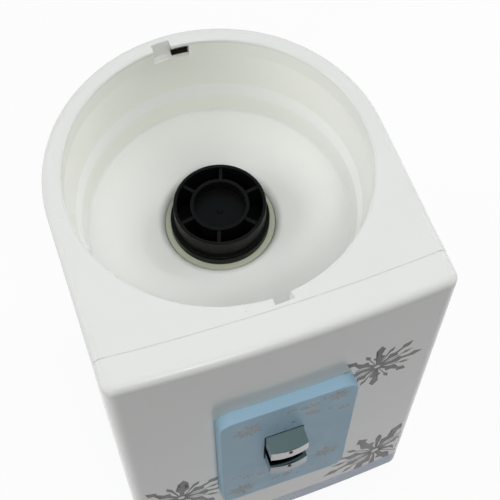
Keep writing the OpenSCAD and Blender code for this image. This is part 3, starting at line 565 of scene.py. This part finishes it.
def print_front():
    """Grey snowflakes on the white front, two right of the panel and one left, by place, size and turn."""
    gap = 0.4 * MM
    panel_x, panel_top = panel_high.x + gap, panel_high.z + gap
    side_limit = front_high.x - 3 * MM
    lower_limit = tray_top - 3.4 * MM
    bend = front_high.x - 9 * MM
    for name, (x, z, size, turn) in (("upper", (84, 323.3, 43, 0)), ("lower", (109.2, 73.5, 62.5, 22.5)),
                                     ("left", (-100.5, 139.7, 52, 40))):
        mesh = flat_shapes(snowflake(x * MM, z * MM, size * MM, turn))
        cut(mesh, (side_limit, 0, 0), (-1, 0, 0), drop=True)
        cut(mesh, (-side_limit, 0, 0), (1, 0, 0), drop=True)
        cut(mesh, (0, 0, lower_limit), (0, 0, 1), drop=True)

        # Edges along the panel, and where the front bends away at its corners
        cut(mesh, (panel_x, 0, 0), (1, 0, 0))
        cut(mesh, (-panel_x, 0, 0), (1, 0, 0))
        cut(mesh, (0, 0, panel_top), (0, 0, 1))
        cut(mesh, (bend, 0, 0), (1, 0, 0))
        cut(mesh, (-bend, 0, 0), (1, 0, 0))
        hidden = [f for f in mesh.faces if abs(f.calc_center_median().x) < panel_x
                  and panel_low.z < f.calc_center_median().z < panel_top]
        bmesh.ops.delete(mesh, geom=hidden, context="FACES")
        made = printed(f"front_flake_{name}", mesh, front_surface, GREY_INK, "housing")


def print_panel():
    """Faint stars, scrolls, leaves and dots on the blue panel, by place, size and turn."""
    stars = ((-36.5, 307, 16, 10), (43.2, 321.2, 12.6, 5), (41.3, 178, 16.5, 0), (-43, 147, 16.5, 8))
    scrolls = ((8, 319, 12.5, 320), (45, 293, 12, 290), (-43, 186, 12.5, 290), (-3, 148, 12, 330),
               (27, 321, 9.5, 200))
    leaves = ((21.8, 300.4, 8.5, 0.55, -35), (-24, 175, 5.5, 0.5, -40))
    dots = ((-10.5, 299, 1.7), (3.8, 292.5, 2.4), (-3, 281.7, 1.4), (29, 149, 2.1), (44.3, 137.6, 2.0),
            (14, 141, 1.4))
    shapes = {}
    for k, (x, z, size, turn) in enumerate(stars, 1):
        shapes[f"star_{k}"] = snowflake(x * MM, z * MM, size * MM, turn, main=NEEDLE_ARM, between=THIN_ARM)
    for k, (x, z, size, turn) in enumerate(scrolls, 1):
        shapes[f"scroll_{k}"] = curl(x * MM, z * MM, size * MM, turn)
    for k, (x, z, size, width, turn) in enumerate(leaves, 1):
        shapes[f"leaf_{k}"] = leaf(x * MM, z * MM, size * MM, width, turn)
    for k, (x, z, radius) in enumerate(dots, 1):
        shapes[f"dot_{k}"] = disc(x * MM, z * MM, radius * MM)
    for name, outlines in shapes.items():
        made = printed(f"panel_{name}", flat_shapes(outlines), panel_surface, PANEL_INK, "housing", 0.04 * MM)


# ---------------------------------------------------------------- small pieces

ABOVE = 10 * MM  # from where rays are sent down


def seam_edge(x):
    """The y where the front cover ends on the deck, found by halving the stretch in which it lies."""
    near, far = front_low.y + 12 * MM, front_low.y + 60 * MM
    for _ in range(16):
        middle = (near + far) / 2
        on = hit(front_surface, (x, middle, deck + ABOVE), (0, 0, -1))
        if on and on.z > deck - 1 * MM:
            near = middle
        else:
            far = middle
    return near


def seam_bead():
    """The tongue of the front cover that fills the joint across the deck, just under the surface."""
    section = ((-0.02, 1.2), (-0.02, 0.1), (0.13, 0.16), (0.28, 0.1), (0.28, 1.2))
    steps = 60
    flat_x = front_high.x - 9 * MM  # the deck is flat between here and the other side
    mesh = bmesh.new()
    rows = []
    for k in range(steps + 1):
        x = -flat_x + 2 * flat_x * k / steps
        y = seam_edge(x)
        rows.append([mesh.verts.new((x, y + back * MM, deck - drop * MM)) for back, drop in section])
    skin(mesh, rows)
    made = piece("deck_seam_tongue", mesh, WHITE, "housing")


def lathe(name, profile, centre, look, body, steps=48):
    """A turned piece from (radius, height) points in mm, around a vertical axis."""
    mesh = bmesh.new()
    loops = [[mesh.verts.new(centre + MM * Vector((r * math.cos(a), r * math.sin(a), h)))
              for a in around(steps)] for r, h in profile]
    skin(mesh, loops)
    return piece(name, mesh, look, body, smooth=True)


def plug_details():
    """The gate mark that moulding leaves in the middle of the plug."""
    floor = hit(plug_surface, (well.x, well.y, plug_high.z + ABOVE), (0, 0, -1))
    profile = ((2.6, -0.2), (2.6, 0.25), (2.0, 0.6), (1.3, 0.55), (0.9, 0.1))
    made = lathe("plug_gate_mark", profile, floor, BLACK, "plug")


def lens_domes():
    """The polished domes of the two indicator lenses."""
    rise, rings, sides = 1.4 * MM, 6, 32
    for node, body in (("lever_lens", "lever"), ("cowl_lens", "housing")):
        low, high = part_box(node)
        middle = (low + high) / 2
        radius = (high.x - low.x) / 2 - 0.05 * MM
        mesh = bmesh.new()
        loops = []
        for k in range(rings):
            a = math.pi / 2 * k / rings
            r, y = radius * math.cos(a), low.y - rise * math.sin(a)
            loops.append([mesh.verts.new((middle.x + r * math.cos(b), y, middle.z + r * math.sin(b)))
                          for b in around(sides)])
        skin(mesh, loops)
        made = piece(f"{node}_dome", mesh, GLOSS_BLACK, body, smooth=True)


def coil_spring():
    """The valve spring as a wound coil with closed ends."""
    low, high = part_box("valve_spring")
    wire_r = 0.45 * MM
    coil_r = (high.x - low.x) / 2 - wire_r
    middle = (low + high) / 2
    turns, closed, per_turn, sides = 5, 0.75, 20, 8
    bottom, top = low.z + wire_r, high.z - wire_r
    mesh = bmesh.new()
    loops = []
    for k in range(turns * per_turn + 1):
        turn = k / per_turn
        a = 2 * math.pi * turn
        height = bottom + (top - bottom) * min(1, max(0, (turn - closed) / (turns - 2 * closed)))
        out = Vector((math.cos(a), math.sin(a), 0))
        centre = Vector((middle.x, middle.y, height)) + coil_r * out
        loops.append([mesh.verts.new(centre + wire_r * (out * math.cos(b) + Vector((0, 0, math.sin(b)))))
                      for b in around(sides)])
    skin(mesh, loops)
    made = piece("valve_coil", mesh, STEEL, "housing", smooth=True)
    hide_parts("valve_spring")
    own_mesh(made)


def rocker_marks():
    """The line and the ring that mark on and off."""
    rocker_surface = surface("switch_rocker")
    low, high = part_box("switch_rocker")
    middle = (low + high) / 2
    aside = (high.x - low.x) / 4
    line = [[(middle.x + aside + a * MM, middle.z + b * MM)
             for a, b in ((-0.4, -2), (0.4, -2), (0.4, 2), (-0.4, 2))]]
    circle = ring(middle.x - aside, middle.z, 1.2 * MM, 1.9 * MM, 20)
    for name, outlines in (("on", line), ("off", circle)):
        mesh = flat_shapes(outlines)
        for vert in mesh.verts:
            vert.co.y = hit(rocker_surface, (vert.co.x, 1, vert.co.z), (0, -1, 0)).y + 0.04 * MM
        made = piece(f"rocker_mark_{name}", mesh, WHITE_INK, "rocker")


# ---------------------------------------------------------------- stage, light and camera

SKY = 0.13
LAMP_COLOUR = (0.965, 0.975, 1.0)
CEILING = (0.34, 0.515, 0.54)
FLOOR_REACH = 12


def floor_look():
    """Pale floor. Camera and mirror rays see it near white, with the object's shadow kept."""
    made, tree, principled = material("floor")
    tuned(made, Base_Color=(0.22, 0.22, 0.22, 1), Roughness=1.0, Specular_IOR_Level=0.0)
    pale = node_of(tree, "ShaderNodeBsdfDiffuse", {"Color": (0.93, 0.93, 0.93, 1)})
    glow = node_of(tree, "ShaderNodeEmission", {"Color": (1, 1, 1, 1), "Strength": 1.0})
    seen = node_of(tree, "ShaderNodeMixShader", {0: 0.93, 1: pale.outputs[0], 2: glow.outputs[0]})
    path = node_of(tree, "ShaderNodeLightPath")
    looks = path.outputs["Is Camera Ray"]
    for ray in ("Is Glossy Ray", "Is Transmission Ray"):
        looks = math_of(tree, "MAXIMUM", looks, path.outputs[ray])
    mixed = node_of(tree, "ShaderNodeMixShader", {0: looks, 1: principled.outputs[0], 2: seen.outputs[0]})
    tree.links.new(mixed.outputs[0], tree.nodes["Material Output"].inputs["Surface"])
    return made


def stage():
    """The wide floor under the object."""
    mesh = bmesh.new()
    bmesh.ops.create_grid(mesh, x_segments=1, y_segments=1, size=FLOOR_REACH)
    data = bpy.data.meshes.new("floor")
    mesh.to_mesh(data)
    mesh.free()
    data.materials.append(floor_look())
    floor = bpy.data.objects.new("floor", data)
    bpy.context.scene.collection.objects.link(floor)


def world():
    """Soft even surroundings. The camera sees white, and mirrors see a white room with a darker ceiling."""
    made = bpy.data.worlds.new("studio")
    bpy.context.scene.world = made
    made.use_nodes = True
    tree = made.node_tree
    tree.nodes.clear()
    soft = node_of(tree, "ShaderNodeBackground", {"Color": (0.95, 0.97, 1, 1), "Strength": SKY})
    way = node_of(tree, "ShaderNodeTexCoord").outputs["Generated"]
    up = node_of(tree, "ShaderNodeSeparateXYZ", {0: way}).outputs[2]
    room = blend_colour(tree, span(tree, up, 0, 1, 0.42, 0.62), (1, 1, 1), CEILING)
    mirrors = node_of(tree, "ShaderNodeBackground", {"Color": room, "Strength": 1.0})
    white = node_of(tree, "ShaderNodeBackground", {"Color": (1, 1, 1, 1), "Strength": 1.0})
    path = node_of(tree, "ShaderNodeLightPath")
    shiny = math_of(tree, "MAXIMUM", path.outputs["Is Glossy Ray"], path.outputs["Is Transmission Ray"])
    mixed = node_of(tree, "ShaderNodeMixShader", {0: shiny, 1: soft.outputs[0], 2: mirrors.outputs[0]})
    mixed = node_of(tree, "ShaderNodeMixShader",
                    {0: path.outputs["Is Camera Ray"], 1: mixed.outputs[0], 2: white.outputs[0]})
    out = node_of(tree, "ShaderNodeOutputWorld")
    tree.links.new(mixed.outputs[0], out.inputs["Surface"])


def softbox(name, at, target, size, power, shiny=False):
    """A lamp aimed at a target. Mirrors show it only if it is shiny."""
    light = bpy.data.lights.new(name, "AREA")
    light.shape = "RECTANGLE"
    light.size, light.size_y = size
    light.energy = power
    light.color = LAMP_COLOUR
    made = bpy.data.objects.new(name, light)
    made.location = at
    made.visible_glossy = shiny
    made.rotation_mode = "QUATERNION"
    made.rotation_quaternion = (Vector(target) - Vector(at)).to_track_quat("-Z", "Y")
    bpy.context.scene.collection.objects.link(made)


def lights():
    """Four wide lamps, and a small one near the camera that puts glints on what shines."""
    softbox("overhead", (0.0, -0.05, 2.2), (0, 0.05, 0.3), (1.4, 1.4), 8.5)
    softbox("front", (0.0, -1.2, 2.2), (0, 0, 0.4), (1.4, 0.8), 6.0)
    softbox("left", (-2.0, 0.35, 1.3), (0, 0, 0.35), (1.2, 1.2), 22.5)
    softbox("right", (2.0, 0.5, 1.4), (0, 0, 0.35), (1.2, 1.2), 22)
    softbox("flash", (0.05, -1.1, 2.0), (0, 0, 0.4), (0.35, 0.35), 3.6, shiny=True)


def camera():
    """The photographer's view, from the front left and high above, as fitted to the photo."""
    turn, height, roll = (math.radians(a) for a in (-19.8898, 61.5583, 0.4679))
    back = Vector((math.sin(turn) * math.cos(height), -math.cos(turn) * math.cos(height), math.sin(height)))
    side = Vector((math.cos(turn), math.sin(turn), 0))
    up = back.cross(side)
    right = side * math.cos(roll) + up * math.sin(roll)
    top = up * math.cos(roll) - side * math.sin(roll)
    data = bpy.data.cameras.new("camera")
    data.sensor_width = 36
    data.lens = 82.33
    data.clip_start = 0.05
    made = bpy.data.objects.new("camera", data)
    bpy.context.scene.collection.objects.link(made)
    matrix = Matrix((right, top, back)).transposed().to_4x4()
    matrix.translation = Vector((-0.14747, -0.45948, 1.22868))
    made.matrix_world = matrix
    bpy.context.scene.camera = made


camera()
world()
stage()
lights()
dress_nodes()
print_front()
print_panel()
seam_bead()
plug_details()
lens_domes()
coil_spring()
rocker_marks()

bpy.context.scene.view_settings.view_transform = "Standard"
bpy.context.view_layer.update()
